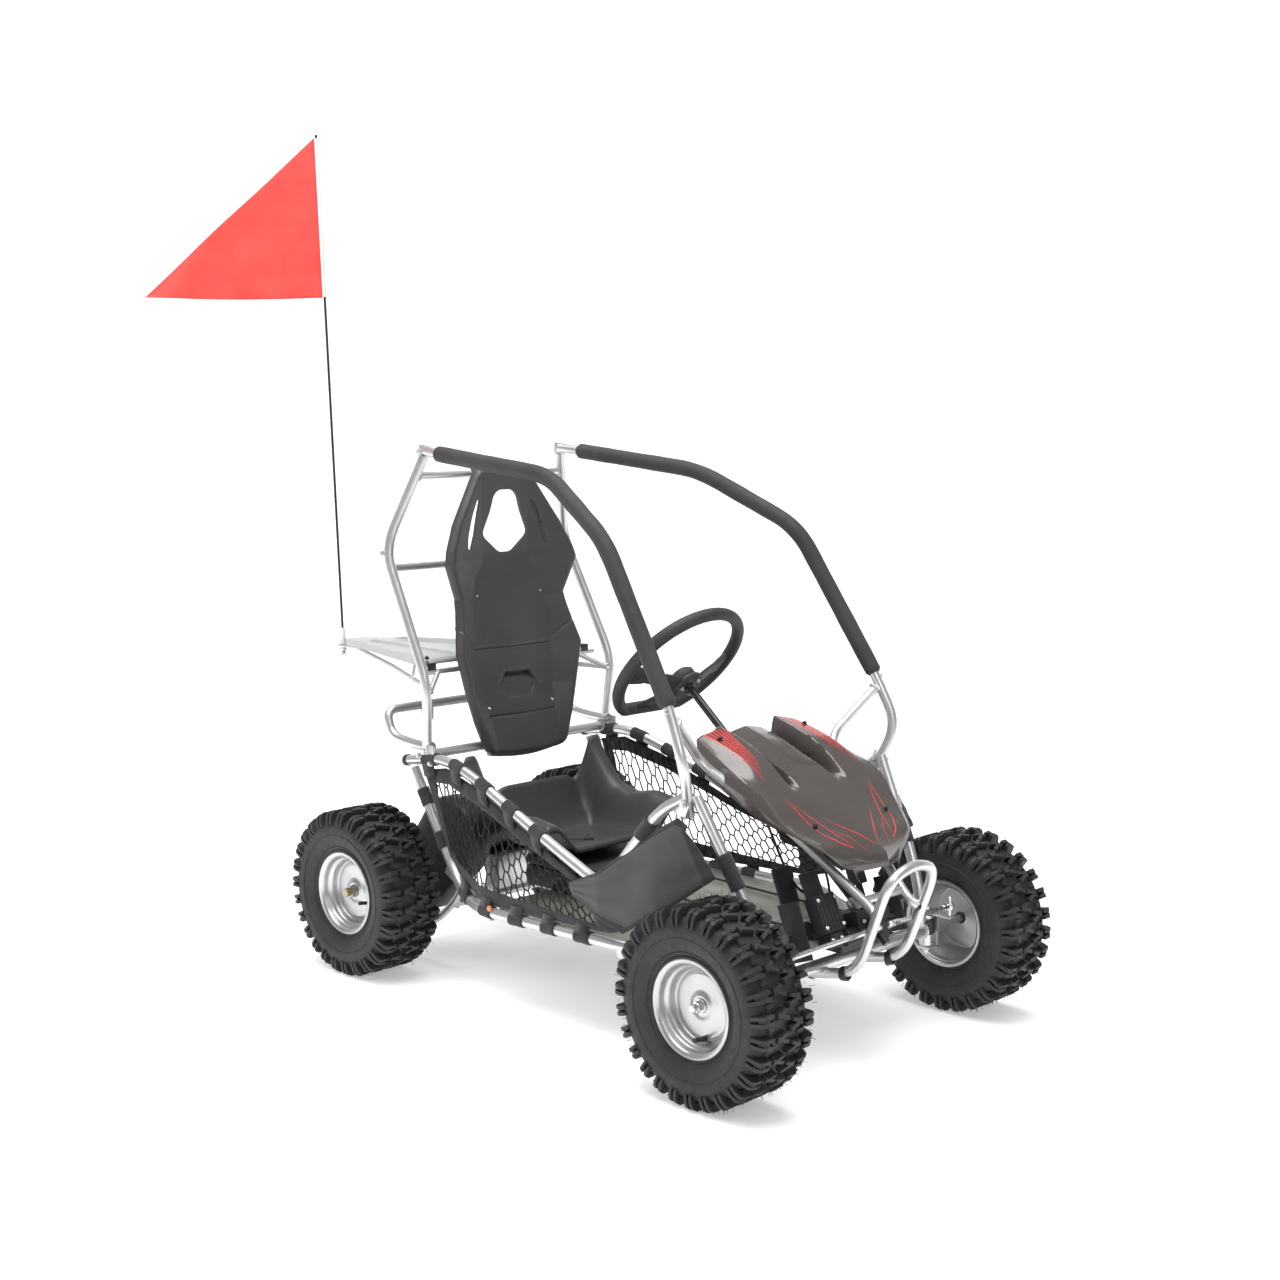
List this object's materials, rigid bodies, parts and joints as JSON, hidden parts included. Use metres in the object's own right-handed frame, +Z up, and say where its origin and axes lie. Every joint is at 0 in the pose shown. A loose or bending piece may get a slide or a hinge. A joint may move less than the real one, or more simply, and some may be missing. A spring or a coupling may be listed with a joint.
{
  "type": "pedal kart chassis with cage, seat and wheels",
  "caption": "Small off-road electric kart: tube cage frame, moulded seat, steering with knuckles and tie rods, chain-driven rear axle, knobbly tyres, cowl, side nets and a pennant.",
  "frame": {"origin": "on the ground below the middle of the bounding box", "axes": "+X forward, +Y to the driver's left, +Z up"},
  "size_m": [2.0998, 0.896, 1.8642],
  "materials": {
    "zinc_tube": "bright zinc-plated steel tube",
    "steel": "zinc-plated pressed steel",
    "tyre_rubber": "black knobbly off-road rubber",
    "foam": "dark grey closed-cell foam sleeve",
    "moulded_plastic": "fine-grained black moulded plastic",
    "gloss_cowl": "dark grey-brown glossy plastic",
    "black_paint": "satin black paint",
    "grey_sheet": "pale grey powder-coated sheet",
    "net": "charcoal webbing and mesh",
    "flag_cloth": "red pennant cloth",
    "fibreglass": "black fibreglass rod"
  },
  "bodies": {
    "frame": {"side_rail_right": "zinc_tube", "side_rail_left": "zinc_tube", "front_post_right": "zinc_tube", "front_post_left": "zinc_tube", "front_axle_beam": "zinc_tube", "lower_rail_right": "zinc_tube", "lower_rail_left": "zinc_tube", "roof_tube_right": "zinc_tube", "roof_tube_left": "zinc_tube", "nose_rail_right": "zinc_tube", "nose_rail_left": "zinc_tube", "front_bumper": "zinc_tube", "rear_cage": "zinc_tube", "rear_hoop": "zinc_tube", "crossmember_rear": "zinc_tube", "crossmember_front": "zinc_tube", "dash_bar": "zinc_tube", "column_support": "zinc_tube", "rear_subframe": "zinc_tube", "bearing_carrier_right": "zinc_tube", "bearing_carrier_left": "zinc_tube", "shelf_frame": "zinc_tube", "foam_sleeve_right": "foam", "foam_sleeve_left": "foam", "chain_cover": "moulded_plastic", "floor_pan": "moulded_plastic", "seat_back": "moulded_plastic", "seat_pan": "moulded_plastic", "cowl": "gloss_cowl", "drive_chain": "black_paint", "motor": "black_paint", "brake_caliper": "black_paint", "battery_box": "black_paint", "pedal_housing": "black_paint", "rear_shelf": "grey_sheet", "side_net_right": "net", "side_net_left": "net", "flag_pole": "fibreglass"},
    "steering": {"steering_column": "black_paint", "steering_wheel": "moulded_plastic"},
    "knuckle_right": {"steering_knuckle_right": "zinc_tube"},
    "knuckle_left": {"steering_knuckle_left": "zinc_tube"},
    "tie_rod_right": {"tie_rod_right": "zinc_tube"},
    "tie_rod_left": {"tie_rod_left": "zinc_tube"},
    "wheel_front_right": {"rim_front_right": "steel", "tyre_front_right": "tyre_rubber"},
    "wheel_front_left": {"rim_front_left": "steel", "tyre_front_left": "tyre_rubber"},
    "rear_axle": {"rear_axle": "steel", "rim_rear_right": "steel", "rim_rear_left": "steel", "tyre_rear_right": "tyre_rubber", "tyre_rear_left": "tyre_rubber", "driven_sprocket": "steel", "brake_disc": "steel"},
    "motor_shaft": {"motor_sprocket": "steel"},
    "accelerator": {"accelerator_pedal": "moulded_plastic"},
    "brake": {"brake_pedal": "moulded_plastic"},
    "flag": {"flag": "flag_cloth"}
  },
  "joints": [
    {"name": "steering", "type": "hinge", "parent": "frame", "child": "steering", "pos_m": [0.4659, 0, 0.655], "axis": [-0.7593, 0, 0.6508], "range_deg": [-45, 45]},
    {"name": "kingpin_right", "type": "hinge", "parent": "frame", "child": "knuckle_right", "pos_m": [0.8699, -0.262, 0.18], "axis": [0, 0, 1], "range_deg": [-15, 15]},
    {"name": "tie_rod_pivot_right", "type": "hinge", "parent": "knuckle_right", "child": "tie_rod_right", "pos_m": [0.9249, -0.262, 0.238], "axis": [0, 0, 1], "range_deg": [-15, 15]},
    {"name": "front_wheel_right", "type": "hinge", "parent": "knuckle_right", "child": "wheel_front_right", "pos_m": [0.8699, -0.3755, 0.18], "axis": [0, 1, 0], "continuous": true},
    {"name": "kingpin_left", "type": "hinge", "parent": "frame", "child": "knuckle_left", "pos_m": [0.8699, 0.262, 0.18], "axis": [0, 0, 1], "range_deg": [-15, 15]},
    {"name": "tie_rod_pivot_left", "type": "hinge", "parent": "knuckle_left", "child": "tie_rod_left", "pos_m": [0.9249, 0.262, 0.238], "axis": [0, 0, 1], "range_deg": [-15, 15]},
    {"name": "front_wheel_left", "type": "hinge", "parent": "knuckle_left", "child": "wheel_front_left", "pos_m": [0.8699, 0.3755, 0.18], "axis": [0, 1, 0], "continuous": true},
    {"name": "rear_axle", "type": "hinge", "parent": "frame", "child": "rear_axle", "pos_m": [-0.1871, 0, 0.18], "axis": [0, 1, 0], "continuous": true},
    {"name": "motor_shaft", "type": "hinge", "parent": "frame", "child": "motor_shaft", "pos_m": [-0.0901, -0.15, 0.285], "axis": [0, 1, 0], "continuous": true},
    {"name": "accelerator", "type": "hinge", "parent": "frame", "child": "accelerator", "pos_m": [0.8439, -0.104, 0.234], "axis": [0, 1, 0], "range_deg": [0, 18], "stiffness_Nm_per_rad": 2, "springref_deg": -17.19},
    {"name": "brake", "type": "hinge", "parent": "frame", "child": "brake", "pos_m": [0.8439, 0.104, 0.234], "axis": [0, 1, 0], "range_deg": [0, 18], "stiffness_Nm_per_rad": 3, "springref_deg": -17.19},
    {"name": "flag_swing", "type": "hinge", "parent": "frame", "child": "flag", "pos_m": [-0.6891, 0, 0.62], "axis": [-0.0562, 0, 0.9984], "continuous": true}
  ],
  "couplings": [
    {"joint": "kingpin_right", "follows": "steering", "ratio": 0.3333},
    {"joint": "tie_rod_pivot_right", "follows": "steering", "ratio": -0.3333},
    {"joint": "kingpin_left", "follows": "steering", "ratio": 0.3333},
    {"joint": "tie_rod_pivot_left", "follows": "steering", "ratio": -0.3333},
    {"joint": "motor_shaft", "follows": "rear_axle", "ratio": 2.5}
  ]
}
